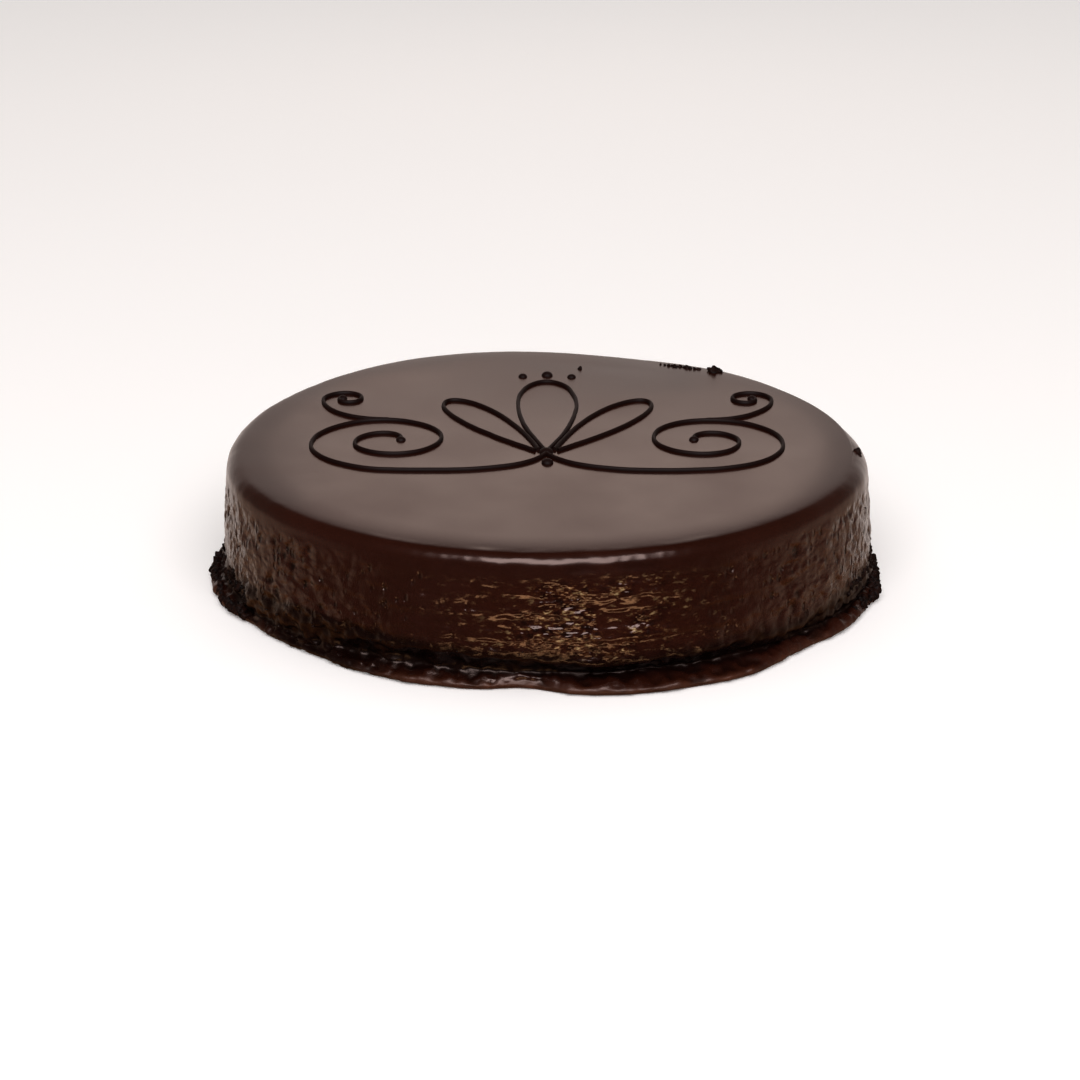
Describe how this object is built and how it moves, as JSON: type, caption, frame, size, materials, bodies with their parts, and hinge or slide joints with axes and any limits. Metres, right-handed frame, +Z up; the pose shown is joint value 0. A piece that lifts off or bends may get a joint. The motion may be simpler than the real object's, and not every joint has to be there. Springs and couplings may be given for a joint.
{
  "type": "sachertorte cake",
  "caption": "Round chocolate torte under a thick dark glaze, with a soft rim, a scroll piped on the top and a skirt of set glaze round the foot.",
  "frame": {"origin": "middle of the flat base", "axes": "+Z up out of the top, -Y towards the front, +X to the right as the front is seen; the piped scroll reads from the front"},
  "size_m": [0.2576, 0.2548, 0.0554],
  "materials": {
    "glaze": "poured chocolate glaze, set: very dark red-brown, smooth and softly glossy on the top, lumpier and wetter low on the side",
    "piping": "piped dark chocolate, near black, glossy",
    "crumb": "crumbs of chocolate sponge and set glaze, near black, dull"
  },
  "bodies": {
    "root": {"torte": "glaze"}
  },
  "joints": []
}
